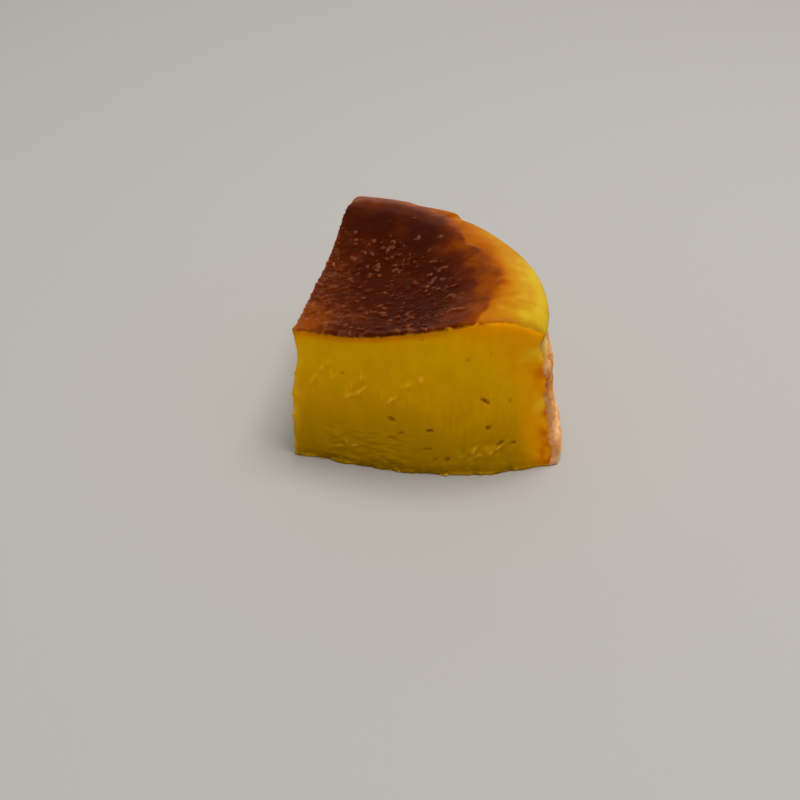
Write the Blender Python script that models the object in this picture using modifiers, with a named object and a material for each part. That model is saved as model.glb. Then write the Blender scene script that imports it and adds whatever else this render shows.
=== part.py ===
"""A slice of soft baked cheesecake, cut from a small round cake.

The cake is turned round its own upright axis: a dished top, a rolled rim, a sharp
crease under it and a wall that sags outwards to the foot. Two knife cuts take the
slice out of it. The near cut bows out and the far cut is a little hollow.

Frame: metres, +Z up, the middle of the base's bounding box at the origin. The tip of
the slice points to -X, the near cut faces -Y and the rim faces +X and +Y.
"""

import math

import bmesh
import bpy
from mathutils import Vector

MM = 0.001

# Driving sizes of the whole cake, in metres
DISH_HEIGHT = 35.1 * MM
DISH_FLAT_RADIUS = 12.0 * MM
DISH_STEEPNESS = 2.3
CREST_HEIGHT = 41.5 * MM
CREST_RADIUS = 49.5 * MM
SHOULDER_RADIUS = 59.4 * MM
SHOULDER_HEIGHT = 36.6 * MM
CREASE_RADIUS = 58.4 * MM
CREASE_HEIGHT = 34.3 * MM
BELLY_RADIUS = 60.9 * MM
BELLY_HEIGHT = 25.5 * MM
LOW_WALL_RADIUS = 62.7 * MM
LOW_WALL_HEIGHT = 10.5 * MM
FOOT_BULGE_RADIUS = 64.2 * MM
FOOT_BULGE_HEIGHT = 3.4 * MM
FOOT_RADIUS = 63.6 * MM

# Where the knife went, measured from the tip of the slice in plan
CAKE_CENTRE_FROM_TIP = (0.6 * MM, 8.9 * MM)
NEAR_CUT_END = (61.8 * MM, -5.3 * MM)
NEAR_CUT_BOW = 5.8 * MM
NEAR_CUT_BOW_SHIFT = 1.2
FAR_CUT_ANGLE = math.radians(78.0)
FAR_CUT_LENGTH = 73.0 * MM
FAR_CUT_HOLLOW = 0.8 * MM

# The soft tip leans back a little and has a waist below its top
TIP_LEAN = 1.3 * MM
TIP_WAIST_DEPTH = 1.3 * MM
TIP_WAIST_HEIGHT = 28.0 * MM
TIP_WAIST_SPREAD = 4.0 * MM
TIP_SOFT_LENGTH = 15.0 * MM

# How finely the round shapes are faceted
TURN_STEPS = 192
DISH_STEPS = 14
SHOULDER_STEPS = 9
WALL_STEPS = 4
CUT_STEPS = 18
CUT_LEVELS = 16

# The knife is taller and longer than the cake
KNIFE_HALF_HEIGHT = 60.0 * MM
KNIFE_MARGIN = 20.0 * MM

UPWARDS = (0.0, 0.0, 1.0)
WELD_DISTANCE = 0.01 * MM
SHARP_ANGLE = math.radians(35.0)

# The baked custard, as the cut shows it
CUSTARD_COLOUR = (0.47, 0.24, 0.006, 1.0)
CUSTARD_ROUGHNESS = 0.45


def clear_scene():
    """Remove the objects that the scene starts with."""
    for old in list(bpy.data.objects):
        bpy.data.objects.remove(old, do_unlink=True)


def new_collection(name):
    """Return a new collection that hangs in the scene."""
    collection = bpy.data.collections.new(name)
    bpy.context.scene.collection.children.link(collection)
    return collection


def principled(name, colour, roughness):
    """Return a material with one Principled BSDF."""
    material = bpy.data.materials.new(name)
    material.use_nodes = True
    shader = material.node_tree.nodes["Principled BSDF"]
    shader.inputs["Base Color"].default_value = colour
    shader.inputs["Roughness"].default_value = roughness
    shader.inputs["Metallic"].default_value = 0.0
    material.diffuse_color = colour
    return material


def dish_points():
    """The top, from the axis out to just inside the crest: flat, then rising."""
    points = []
    for step in range(DISH_STEPS):
        radius = CREST_RADIUS * step / DISH_STEPS
        across = max(0.0, radius - DISH_FLAT_RADIUS) / (CREST_RADIUS - DISH_FLAT_RADIUS)
        rise = math.sin(0.5 * math.pi * across ** DISH_STEEPNESS)
        points.append((radius, DISH_HEIGHT + (CREST_HEIGHT - DISH_HEIGHT) * rise))
    return points


def shoulder_points():
    """A quarter of an ellipse from the crest down to the widest place of the rim."""
    points = []
    for step in range(SHOULDER_STEPS + 1):
        angle = 0.5 * math.pi * step / SHOULDER_STEPS
        radius = CREST_RADIUS + (SHOULDER_RADIUS - CREST_RADIUS) * math.sin(angle)
        height = SHOULDER_HEIGHT + (CREST_HEIGHT - SHOULDER_HEIGHT) * math.cos(angle)
        points.append((radius, height))
    return points


def wall_points():
    """A smooth curve down the wall, from the crease to the floor."""
    guides = [
        (CREASE_RADIUS, CREASE_HEIGHT),
        (BELLY_RADIUS, BELLY_HEIGHT),
        (LOW_WALL_RADIUS, LOW_WALL_HEIGHT),
        (FOOT_BULGE_RADIUS, FOOT_BULGE_HEIGHT),
        (FOOT_RADIUS, 0.0),
    ]
    return curve_through(guides, WALL_STEPS)


def curve_through(guides, steps):
    """Points on a smooth curve through the guides, both ends included."""
    guides = [Vector(guide) for guide in guides]
    ends = [2.0 * guides[0] - guides[1]] + guides + [2.0 * guides[-1] - guides[-2]]
    points = []
    for before, start, end, after in zip(ends, ends[1:], ends[2:], ends[3:]):
        for step in range(steps):
            t = step / steps
            bend = 2.0 * before - 5.0 * start + 4.0 * end - after
            twist = 3.0 * start - 3.0 * end + after - before
            point = start + 0.5 * t * ((end - before) + t * bend + t * t * twist)
            points.append(tuple(point))
    points.append(tuple(guides[-1]))
    return points


def turned_cake(name, collection, material):
    """The whole cake: its profile turned round the upright axis."""
    profile = dish_points() + shoulder_points() + wall_points() + [(0.0, 0.0)]
    mesh = bpy.data.meshes.new(name)
    corners = [(radius, 0.0, height) for radius, height in profile]
    lines = [(index, index + 1) for index in range(len(corners) - 1)]
    mesh.from_pydata(corners, lines, [])
    mesh.materials.append(material)
    cake = bpy.data.objects.new(name, mesh)
    collection.objects.link(cake)
    turn = cake.modifiers.new("Turn", "SCREW")
    turn.axis = "Z"
    turn.angle = 2.0 * math.pi
    turn.steps = TURN_STEPS
    turn.render_steps = TURN_STEPS
    turn.use_merge_vertices = True
    turn.merge_threshold = WELD_DISTANCE
    turn.use_smooth_shade = True
    return cake


def near_cut_points():
    """The near cut in plan, from the tip to past the rim, bowed out of the slice."""
    end = Vector(NEAR_CUT_END)
    along = end.normalized()
    outwards = Vector((along.y, -along.x))
    points = []
    for step in range(CUT_STEPS + 1):
        part = step / CUT_STEPS
        bow = NEAR_CUT_BOW * math.sin(math.pi * part ** NEAR_CUT_BOW_SHIFT)
        points.append(end * part + outwards * bow)
    run_out = (points[-1] - points[-2]).normalized()
    points.append(points[-1] + run_out * KNIFE_MARGIN)
    return points


def far_cut_points():
    """The far cut in plan, from past the rim back towards the tip, slightly hollow."""
    along = Vector((math.cos(FAR_CUT_ANGLE), math.sin(FAR_CUT_ANGLE)))
    inwards = Vector((along.y, -along.x))
    points = [along * (FAR_CUT_LENGTH + KNIFE_MARGIN)]
    for step in range(CUT_STEPS, 0, -1):
        part = step / CUT_STEPS
        hollow = FAR_CUT_HOLLOW * math.sin(math.pi * part)
        points.append(along * FAR_CUT_LENGTH * part + inwards * hollow)
    return points


def knife_wedge(name, collection):
    """An upright wedge that holds what the two cuts leave of the cake."""
    near = near_cut_points()
    far = far_cut_points()
    outer_corner = Vector((near[-1].x, far[0].y))
    outline = near + [outer_corner] + far
    curve = bpy.data.curves.new(name, "CURVE")
    curve.dimensions = "2D"
    curve.fill_mode = "BOTH"
    curve.extrude = KNIFE_HALF_HEIGHT
    spline = curve.splines.new("POLY")
    spline.points.add(len(outline) - 1)
    for point, place in zip(spline.points, outline):
        point.co = (place.x, place.y, 0.0, 1.0)
    spline.use_cyclic_u = True
    wedge = mesh_from_curve(name, curve, collection)
    soften_tip(wedge)
    wedge.hide_render = True
    wedge.display_type = "WIRE"
    return wedge


def tip_setback(place):
    """How far the tip gives way towards +X at a place: none at the foot."""
    near_tip = math.exp(-(math.hypot(place.x, place.y) / TIP_SOFT_LENGTH) ** 2)
    lean = TIP_LEAN * max(0.0, place.z) / DISH_HEIGHT
    from_waist = (place.z - TIP_WAIST_HEIGHT) / TIP_WAIST_SPREAD
    waist = TIP_WAIST_DEPTH * math.exp(-0.5 * from_waist ** 2)
    return near_tip * (lean + waist)


def soften_tip(wedge):
    """Slice the wedge's walls into levels and set each level back near the tip."""
    solid = bmesh.new()
    solid.from_mesh(wedge.data)
    for level in range(CUT_LEVELS + 1):
        everything = solid.verts[:] + solid.edges[:] + solid.faces[:]
        level_point = (0.0, 0.0, CREST_HEIGHT * level / CUT_LEVELS)
        bmesh.ops.bisect_plane(solid, geom=everything, plane_co=level_point, plane_no=UPWARDS)
    for corner in solid.verts:
        corner.co.x += tip_setback(corner.co)
    bmesh.ops.triangulate(solid, faces=solid.faces)
    solid.to_mesh(wedge.data)
    solid.free()


def mesh_from_curve(name, curve, collection):
    """Make a curve into a mesh object with its caps welded on."""
    drawn = bpy.data.objects.new(name + "_outline", curve)
    collection.objects.link(drawn)
    graph = bpy.context.evaluated_depsgraph_get()
    mesh = bpy.data.meshes.new_from_object(drawn.evaluated_get(graph))
    solid = bmesh.new()
    solid.from_mesh(mesh)
    bmesh.ops.remove_doubles(solid, verts=solid.verts, dist=WELD_DISTANCE)
    bmesh.ops.recalc_face_normals(solid, faces=solid.faces)
    solid.to_mesh(mesh)
    solid.free()
    piece = bpy.data.objects.new(name, mesh)
    piece.matrix_world = drawn.matrix_world
    collection.objects.link(piece)
    bpy.data.objects.remove(drawn, do_unlink=True)
    return piece


def cut_slice(cake, wedge):
    """Keep only what lies inside the knife's wedge."""
    cut = cake.modifiers.new("Cut", "BOOLEAN")
    cut.operation = "INTERSECT"
    cut.solver = "EXACT"
    cut.object = wedge
    wedge.data.shade_smooth()
    wedge.data.set_sharp_from_angle(angle=SHARP_ANGLE)


def stand_on_origin(frame, piece):
    """Move the frame so that the middle of the piece's base is at the origin."""
    graph = bpy.context.evaluated_depsgraph_get()
    solid = piece.evaluated_get(graph)
    corners = [solid.matrix_world @ Vector(corner) for corner in solid.bound_box]
    middle = [0.5 * (min(values) + max(values)) for values in zip(*corners)]
    base = min(corner.z for corner in corners)
    frame.location = (-middle[0], -middle[1], -base)


def main():
    clear_scene()
    pieces = new_collection("cheesecake")
    cutters = new_collection("knife")

    frame = bpy.data.objects.new("slice_frame", None)
    pieces.objects.link(frame)

    custard = principled("baked_custard", CUSTARD_COLOUR, CUSTARD_ROUGHNESS)
    cake = turned_cake("cheesecake_slice", pieces, custard)
    cake.parent = frame
    cake.location = (*CAKE_CENTRE_FROM_TIP, 0.0)

    wedge = knife_wedge("knife_wedge", cutters)
    wedge.parent = frame

    cut_slice(cake, wedge)
    bpy.context.view_layer.update()
    stand_on_origin(frame, cake)
    bpy.context.view_layer.update()


main()
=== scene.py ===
"""The looks of a slice of soft baked cheesecake, laid out as an add-on and run as a script.

One mesh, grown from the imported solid, carries the custard, the browned top, the rolled rim
and the side skin, because they are baked as one piece. Small crumbs lie at its foot.
"""

import math
import random
from functools import partial
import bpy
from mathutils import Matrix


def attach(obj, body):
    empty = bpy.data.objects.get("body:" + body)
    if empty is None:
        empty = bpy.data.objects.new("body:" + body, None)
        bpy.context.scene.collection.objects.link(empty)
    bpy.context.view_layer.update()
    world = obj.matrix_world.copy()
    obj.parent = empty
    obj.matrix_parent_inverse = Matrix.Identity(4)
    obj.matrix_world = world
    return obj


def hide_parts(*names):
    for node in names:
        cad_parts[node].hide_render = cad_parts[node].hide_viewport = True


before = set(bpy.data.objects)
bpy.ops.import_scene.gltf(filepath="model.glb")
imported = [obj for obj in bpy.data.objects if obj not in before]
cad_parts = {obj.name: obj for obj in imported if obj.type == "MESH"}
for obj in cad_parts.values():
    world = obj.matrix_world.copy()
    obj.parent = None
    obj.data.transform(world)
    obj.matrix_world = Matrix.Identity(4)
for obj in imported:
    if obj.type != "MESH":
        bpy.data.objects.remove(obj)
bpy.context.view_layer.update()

from types import SimpleNamespace

import bmesh
import bpy
import numpy as np
from bpy.props import FloatProperty, FloatVectorProperty, IntProperty, PointerProperty
from mathutils import Matrix, Vector, noise

bl_info = {
    "name": "Cheesecake slice",
    "version": (1, 0, 0),
    "blender": (4, 5, 0),
    "location": "View3D > Sidebar > Cheesecake",
    "description": "Bakes the surface, the colours and the crumbs of a slice of soft cheesecake",
    "category": "Object",
}

MM = 0.001
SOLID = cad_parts["cheesecake_slice"]
BODY = "root"

# The turned cake, in millimetres from its axis and above its base, as the solid has it
DISH_HEIGHT = 35.1
DISH_FLAT_RADIUS = 12.0
DISH_STEEPNESS = 2.3
CREST_HEIGHT = 41.5
CREST_RADIUS = 49.5
SHOULDER_RADIUS = 59.4
SHOULDER_HEIGHT = 36.6
CREASE_RADIUS = 58.4
CREASE_HEIGHT = 34.3
WALL_GUIDES = ((60.9, 25.5), (62.7, 10.5), (64.2, 3.4), (63.6, 0.0))

# The knife's two cuts, in millimetres from the tip of the slice, as the solid has them
CAKE_CENTRE = (0.6, 8.9)
NEAR_CUT_END = (61.8, -5.3)
NEAR_CUT_BOW = 5.8
NEAR_CUT_BOW_SHIFT = 1.2
FAR_CUT_ANGLE = math.radians(78.0)
FAR_CUT_LENGTH = 73.0
FAR_CUT_HOLLOW = 0.8
TIP_LEAN = 1.3
TIP_WAIST_DEPTH = 1.3
TIP_WAIST_HEIGHT = 28.0
TIP_WAIST_SPREAD = 4.0
TIP_SOFT_LENGTH = 15.0

# How finely the outside and the cuts are drawn, and how far the cuts run past the rim
DISH_STEPS = 39
SHOULDER_STEPS = 15
WALL_STEPS = 6
NEAR_CUT_STEPS = 36
NEAR_CUT_EXTRA_STEPS = 5.0
FAR_CUT_STEPS = 22
FAR_CUT_SPAN = 1.1

# Where the browning ends on the outside: degrees round the cake's axis, and millimetres
# along the outside from the axis. Beyond the second line the rim is yellow.
BROWN_EDGE = (
    (-25, 45.9), (-9, 46.5), (-3, 47.0), (5, 48.2), (22, 48.7), (27, 47.5),
    (31, 48.2), (35, 50.0), (39, 53.0), (42, 58.0), (45, 66.0), (90, 66.0),
)
YELLOW_EDGE = (
    (-25, 57.0), (-17, 54.7), (-14, 51.2), (-5, 50.4), (2, 51.2), (9, 51.4),
    (17, 53.0), (27, 55.6), (34, 58.0), (41, 61.0), (46, 67.0), (90, 70.0),
)
# Browning at the edge of the browned top, in its middle and on the rim just beside it
EDGE_TONE = 0.67
MIDDLE_TONE = 1.02
RIM_TONE = 0.60

# Blotches on the rim: degrees round the axis, millimetres along the outside and across,
# and how much browner they are
RIM_BLOTCHES = (
    (5.8, 48.6, 1.6, 0.12), (0.5, 50.0, 1.7, 0.14), (-6.2, 51.6, 1.5, 0.13),
    (-13.0, 52.0, 1.8, 0.05), (-14.4, 55.0, 1.6, -0.12), (-21.0, 52.0, 2.2, 0.10),
)

# Where single features of the outside lie: degrees round the axis, and millimetres from the
# axis, along the outside, below the crease or above the base
FAR_CORNER_AZIMUTH = 45.4
LIFTED_TONGUE = (-14.0, 53.0)
BLISTERED_RADII = (34.0, 40.5)
WALL_SKIN_START = 4.4
FOLD_HEIGHT = 7.2
# Where single features of the near cut lie: millimetres along it, and above the base
RAISED_EDGE_RUN = 27.0
TORN_SKIN_RUN = 40.0
ROUGH_PATCH = (47.0, 6.5)
FINE_SCRATCHES = (42.0, 16.0)

# Marks on the near cut: millimetres along it from the tip, and above the base.
# A pit has its place, length, width, tilt in degrees and depth.
PITS = (
    (45.4, 20.7, 2.9, 0.9, -42, 0.8),
    (46.3, 13.3, 1.3, 1.2, 0, 0.7),
    (49.2, 8.5, 2.4, 1.1, 40, 0.6),
    (52.5, 8.3, 1.4, 0.9, -30, 0.7),
    (32.9, 12.6, 2.0, 0.8, 0, 0.8),
    (32.4, 7.3, 2.3, 0.6, 0, 0.5),
    (37.1, 4.5, 1.3, 1.1, 60, 0.6),
    (41.1, 31.7, 0.8, 1.0, 0, 0.4),
    (46.2, 32.8, 0.7, 0.7, 0, 0.3),
    (51.0, 20.3, 0.6, 1.4, 0, 0.4),
    (23.9, 14.9, 2.1, 1.1, -20, 0.7),
    (23.8, 9.5, 2.3, 0.8, 0, 0.55),
    (26.1, 11.2, 2.0, 0.7, 25, 0.5),
    (11.4, 25.3, 1.3, 0.6, -30, 0.4),
    (34.2, 4.3, 1.4, 0.6, 50, 0.4),
    (31.0, 36.0, 0.9, 0.6, 0, 0.4),
)
# A tear is a lip of custard that the knife dragged up along a line of such places.
TEARS = (
    ((6.1, 26.6), (5.0, 24.0), (3.5, 20.8)),
    ((7.6, 28.4), (7.0, 26.2)),
    ((16.4, 27.6), (16.3, 24.1)),
    ((18.1, 23.6), (17.2, 22.0), (15.9, 20.9), (14.0, 19.8), (11.6, 19.6)),
    ((25.2, 21.4), (24.0, 20.4), (22.6, 19.1)),
    ((27.8, 25.4), (27.9, 23.8)),
    ((30.5, 27.0), (30.6, 25.4)),
    ((9.6, 4.4), (12.6, 5.2), (16.8, 6.4)),
    ((12.2, 7.6), (13.4, 6.4)),
    ((42.2, 4.6), (44.4, 5.6), (47.2, 6.0), (49.4, 7.6), (50.8, 9.4)),
    ((43.6, 8.4), (43.0, 6.6), (43.8, 5.2)),
    ((39.6, 6.8), (40.2, 5.0)),
)
# Blisters on the browned top that stand out: millimetres from the tip, along +X and +Y
BLISTERS = (
    (26.7, 28.3), (34.0, 24.6), (36.5, 20.8), (30.3, 36.1), (36.0, 34.6), (13.7, 32.2),
    (20.3, 27.6), (27.7, 26.7), (39.0, -0.9), (21.5, 4.9), (16.0, 8.0), (25.0, 2.0),
)
# Patches beside the wall on the near cut: place, half width and half height. The first list is deep orange
# stains; the second is painted highlights where the cut's edge beside the wall catches the light.
STAINS = ((57.6, 27.0, 1.5, 2.8), (59.5, 3.6, 0.9, 2.6))
PAINTED_HIGHLIGHTS = ((55.8, 32.3, 2.6, 1.7), (58.3, 18.2, 1.5, 2.8), (57.6, 31.6, 1.6, 2.0))
# Small nubs on the tip's edge: height, how far they stand out and half their height
TIP_NUBS = ((23.2, 0.35, 0.45), (17.4, 0.40, 0.5), (11.2, 0.38, 0.45))
TIP_SHARPNESS = 0.45
# How far the wall's skin laps round onto the cuts, and how far under a cut's plane its
# marks and its patches of colour still show, in millimetres
WALL_WRAP = 1.95
MARK_REACH = 1.2
PATCH_REACH = 1.5
# How much a pit's outline is widened so that it fades out, in millimetres
PIT_BLUR = 0.05
# The rounding of the cut corners
EASE_SHARE = 0.9
EASE_ROUNDS = 24

# Crumbs: how far along the near cut they lie and how large they are, in millimetres,
# and a crumb's length, width and height for a radius of one
CRUMB_RUNS = (6.0, 40.0)
CRUMB_RADII = (0.30, 0.55)
CRUMB_FORM = (1.3, 0.8, 0.45)

# Seeds of the random draws
BLISTER_SEED = 4
PIT_SEED = 11
CRUMB_SEED = 23

# The materials' patterns: how wide a lump is in millimetres, how many octaves of finer lumps
# it has, how rough they make it, how twisted it is and how it is scaled along X, Y and Z.
# Custard's own pores are about a tenth of a millimetre, too fine to show, so its tooth is
# drawn 0.45 mm wide.
EVENLY = (1.0, 1.0, 1.0)
SLICE_PATTERNS = {
    "custard_clouds": (7.0, 2.0, 0.5, 0.0, EVENLY),
    "custard_tooth": (0.45, 2.0, 0.5, 0.0, EVENLY),
    "knife_streaks": (2.2, 4.0, 0.5, 0.0, (1.0, 1.0, 0.22)),
    "brown_blots": (5.5, 2.0, 0.5, 0.0, EVENLY),
    "brown_mottle": (2.0, 4.0, 0.6, 0.0, EVENLY),
    "wall_clouds": (13.0, 2.0, 0.5, 0.0, EVENLY),
    "wall_blots": (3.6, 3.0, 0.55, 0.0, EVENLY),
    "wall_grain": (1.1, 3.0, 0.5, 0.8, (0.55, 0.55, 1.2)),
    "skin_frays": (1.1, 3.0, 0.5, 0.0, EVENLY),
    "skin_pebbles": (1.3, 2.0, 0.5, 0.0, EVENLY),
}
CRUMB_PATTERNS = {"crumb_clouds": (0.7, 3.0, 0.5, 0.0, EVENLY)}
# How far red, green and blue light travel in custard, as shares of the furthest
LIGHT_REACH = (1.0, 0.5, 0.12)

# The numbers that the mesh keeps at each corner for the baked custard to read
KEPT_NUMBERS = (
    "browning", "wall_skin", "cream", "blistered", "rim_depth", "pit_dark", "lips", "height",
    "stain", "pale", "bubble", "marks", "flakes", "sheen", "skin_side",
)
# The places of the sockets on a Mix node that mixes colours
SHARE, FROM, TO, MIXED = 0, 6, 7, 2

# The camera, as the photograph was taken: its place in millimetres from the tip of the slice,
# how far it looks down and leans, and its lens and sensor width in millimetres
EYE = (25.5, -212.6, 157.2)
LOOK_DOWN = math.radians(33.676)
ROLL = math.radians(-0.464)
LENS = 48.75
SENSOR = 36.0

# The floor's rings: metres from its middle and above the ground
FLOOR_RINGS = ((1.0, 0.0), (1.3, 0.01), (1.6, 0.05), (1.9, 0.13), (2.2, 0.27), (2.5, 0.48))
FLOOR_SIDES = 64
# The lights: place, width and depth in metres, and tint
BACK_WINDOW = ((0.1, 0.85, 0.20), 1.7, 0.24, (1.0, 0.90, 0.78))
TOP_SOFTBOX = ((0.2, -0.02, 1.0), 0.6, 0.5, (1.0, 0.97, 0.92))
LIT_PLACE = (0.0, 0.0, 0.02)


def linear(hex_colour):
    """Turn an sRGB hex value into the linear numbers that shaders use."""
    values = [int(hex_colour[place:place + 2], 16) / 255.0 for place in (1, 3, 5)]
    return tuple(v / 12.92 if v <= 0.04045 else ((v + 0.055) / 1.055) ** 2.4 for v in values)


def length_property(name, description, millimetres, most):
    """A size that the user sees in scene units and that is given here in millimetres."""
    return FloatProperty(
        name=name, description=description, default=millimetres * MM, min=0.0, max=most * MM,
        precision=5, unit="LENGTH",
    )


def count_property(name, description, count, least, most):
    """A number of like things."""
    return IntProperty(name=name, description=description, default=count, min=least, max=most)


def colour_property(name, description, hex_colour):
    """A colour swatch with its default given as an sRGB hex value."""
    return FloatVectorProperty(
        name=name, description=description, default=linear(hex_colour), min=0.0, max=1.0,
        size=3, subtype="COLOR",
    )


class SliceSizes(bpy.types.PropertyGroup):
    """How deep, high and fine the slice's surface is."""

    grain: length_property("Mesh grain", "Width of one face of the mesh", 0.42, 2.0)
    skin: length_property("Skin thickness", "Thickness of the browned skin where it is cut", 0.2, 2.0)
    blister: length_property("Blister height", "Height of a blister on the browned top", 0.42, 1.5)
    wrinkle: length_property("Wrinkle height", "Height of the wrinkles between the blisters", 0.15, 1.0)
    tear: length_property("Tear height", "How far a torn lip stands out of the near cut", 0.45, 1.0)
    wall_lump: length_property("Wall lumps", "Height of the lumps on the browned wall", 0.42, 1.5)
    foot_rag: length_property("Ragged foot", "How far the cut's foot is frayed in and out", 0.38, 1.0)
    corner_slump: length_property("Corner slump", "How far the cut corner of the rim sinks", 1.2, 3.0)
    blisters: count_property("Blisters", "Number of random blisters on the top", 380, 0, 1000)
    far_pits: count_property("Far pits", "Number of pits on the far cut", 16, 0, 100)
    crumbs: count_property("Crumbs", "Number of crumbs at the near foot", 7, 1, 60)


class SliceColours(bpy.types.PropertyGroup):
    """The colours of custard and skin, from pale to nearly burnt."""

    custard: colour_property("Custard", "Cut custard in its upper half", "#F6B600")
    # Painted shade: the low custard colour makes the cut darker towards its foot.
    custard_shaded_low: colour_property("Low custard", "Cut custard near its foot", "#B48400")
    # Partly the custard's own deeper orange by the baked edge, partly a painted glow of light through the
    # thin custard there.
    custard_orange_and_glow: colour_property("Custard band", "Custard just under the rim and the wall", "#FFA900")
    # Painted light: highlights at the cut's edge beside the wall, and a painted glow where light shows
    # through thin custard at the tip and the cut edges.
    custard_painted_light: colour_property("Pale custard", "Thin or pale places of the cut", "#FFC422")
    custard_stain: colour_property("Custard stain", "Deep orange stains close to the wall", "#DC6400")
    # Painted shade: pits are darkened in colour because the mesh is too coarse to shade them.
    pit: colour_property("Pit", "The bottom of a pit in the custard", "#A25004")
    # Mostly a painted highlight on lips that catch the light; at the foot it is the custard's own pale torn
    # film.
    torn: colour_property("Torn custard", "Lips of custard that the knife tore up", "#FFC22C")
    cream: colour_property("Cream", "Skin just under the crease", "#E9BE62")
    yellow: colour_property("Yellow rim", "Skin of the rolled rim", "#C4A01C")
    golden: colour_property("Golden rim", "Skin between yellow and orange", "#B47A09")
    orange: colour_property("Orange edge", "Skin just outside the browning", "#A55A00")
    amber: colour_property("Amber", "Thin browning near the tip", "#853C00")
    brown: colour_property("Brown", "Browned top", "#511A00")
    dark: colour_property("Dark brown", "The most browned places", "#360C00")
    # Painted glints: the blister colour lights up blister tops, and mottled patches of the blistered top as
    # painted sheen.
    blister: colour_property("Blister tops", "Thin, stretched skin on a blister", "#8C4C26")
    wall: colour_property("Wall skin", "Browned skin on the wall", "#DA9452")
    # The pale and deep wall colours also carry painted highlight on the raised flakes and painted shade in
    # the hollows, besides the skin's own tone.
    wall_pale: colour_property("Pale wall skin", "Raised places on the wall", "#EEB47C")
    wall_deep: colour_property("Deep wall skin", "Hollows on the wall", "#BC6A2A")
    wall_brown: colour_property("Brown wall skin", "The most browned places on the wall", "#8C4818")


class StageLook(bpy.types.PropertyGroup):
    """Floor and lights."""

    floor: colour_property("Floor", "Colour of the plain floor", "#ADABA8")
    sky: colour_property("Room", "Colour of the light from all round", "#F4F4F6")
    sky_strength: FloatProperty(
        name="Room light", description="Strength of the light from all round", default=0.425, min=0.0,
    )
    back_power: FloatProperty(
        name="Back light", description="Power of the low, wide light behind", default=1.8, min=0.0,
        unit="POWER",
    )
    top_power: FloatProperty(
        name="Top light", description="Power of the soft light overhead", default=9.4, min=0.0,
        unit="POWER",
    )


def smooth(values, low, high):
    """Ease from 0 at low to 1 at high."""
    share = np.clip((values - low) / (high - low), 0.0, 1.0)
    return share * share * (3.0 - 2.0 * share)


def hump(values, width):
    """A bell shape: 1 at zero and nearly 0 at twice the width."""
    return np.exp(-(values / width) ** 2)


def lumps(places, size, seed, stretch=(1.0, 1.0, 1.0)):
    """Even noise from -1 to 1 with lumps about as wide as size, in millimetres."""
    scaled = places / (np.array(stretch) * size) + 17.3 * seed
    return np.array([noise.noise(Vector(place)) for place in scaled])


def rough_lumps(places, size, seed, octaves=3, stretch=(1.0, 1.0, 1.0)):
    """Noise with finer and finer lumps added, each half as high."""
    total = np.zeros(len(places))
    for octave in range(octaves):
        total += 0.5 ** octave * lumps(places, size * 0.5 ** octave, seed + octave, stretch)
    return total


def curve_through(guides, steps):
    """Points on a smooth curve through the guides, both ends included."""
    guides = [np.array(guide, float) for guide in guides]
    ends = [2.0 * guides[0] - guides[1]] + guides + [2.0 * guides[-1] - guides[-2]]
    points = []
    for before, start, end, after in zip(ends, ends[1:], ends[2:], ends[3:]):
        for step in range(steps):
            t = step / steps
            bend = 2.0 * before - 5.0 * start + 4.0 * end - after
            twist = 3.0 * start - 3.0 * end + after - before
            points.append(start + 0.5 * t * ((end - before) + t * bend + t * t * twist))
    points.append(guides[-1])
    return points


def outside_profile():
    """The cake's outside from the axis to the foot, and the runs to the crest and the crease."""
    radii = np.linspace(0.0, CREST_RADIUS, DISH_STEPS + 1)[:-1]
    across = np.clip(radii - DISH_FLAT_RADIUS, 0.0, None) / (CREST_RADIUS - DISH_FLAT_RADIUS)
    rise = np.sin(0.5 * math.pi * across ** DISH_STEEPNESS)
    dish = np.stack([radii, DISH_HEIGHT + (CREST_HEIGHT - DISH_HEIGHT) * rise], axis=1)
    turn = np.linspace(0.0, 0.5 * math.pi, SHOULDER_STEPS + 1)
    shoulder = np.stack([
        CREST_RADIUS + (SHOULDER_RADIUS - CREST_RADIUS) * np.sin(turn),
        SHOULDER_HEIGHT + (CREST_HEIGHT - SHOULDER_HEIGHT) * np.cos(turn),
    ], axis=1)
    wall = np.array(curve_through(((CREASE_RADIUS, CREASE_HEIGHT),) + WALL_GUIDES, WALL_STEPS))
    line = np.concatenate([dish, shoulder, wall])
    travelled = np.concatenate([[0.0], np.cumsum(np.hypot(*np.diff(line, axis=0).T))])
    return line, travelled[len(dish)], travelled[len(dish) + len(shoulder)]


def near_cut_line():
    """The near cut in plan, from the tip to past the rim."""
    end = np.array(NEAR_CUT_END)
    along = end / np.hypot(*end)
    outwards = np.array([along[1], -along[0]])
    parts = np.linspace(0.0, 1.0, NEAR_CUT_STEPS + 1)
    bow = NEAR_CUT_BOW * np.sin(math.pi * parts ** NEAR_CUT_BOW_SHIFT)
    line = parts[:, None] * end + bow[:, None] * outwards
    run_out = line[-1] + NEAR_CUT_EXTRA_STEPS * (line[-1] - line[-2])
    return np.concatenate([line, [run_out]])


def far_cut_line():
    """The far cut in plan, from the tip to past the rim."""
    along = np.array([math.cos(FAR_CUT_ANGLE), math.sin(FAR_CUT_ANGLE)])
    inwards = np.array([along[1], -along[0]])
    parts = np.linspace(0.0, FAR_CUT_SPAN, FAR_CUT_STEPS + 1)
    hollow = FAR_CUT_HOLLOW * np.sin(math.pi * np.clip(parts, 0.0, 1.0))
    return parts[:, None] * FAR_CUT_LENGTH * along + hollow[:, None] * inwards


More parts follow.
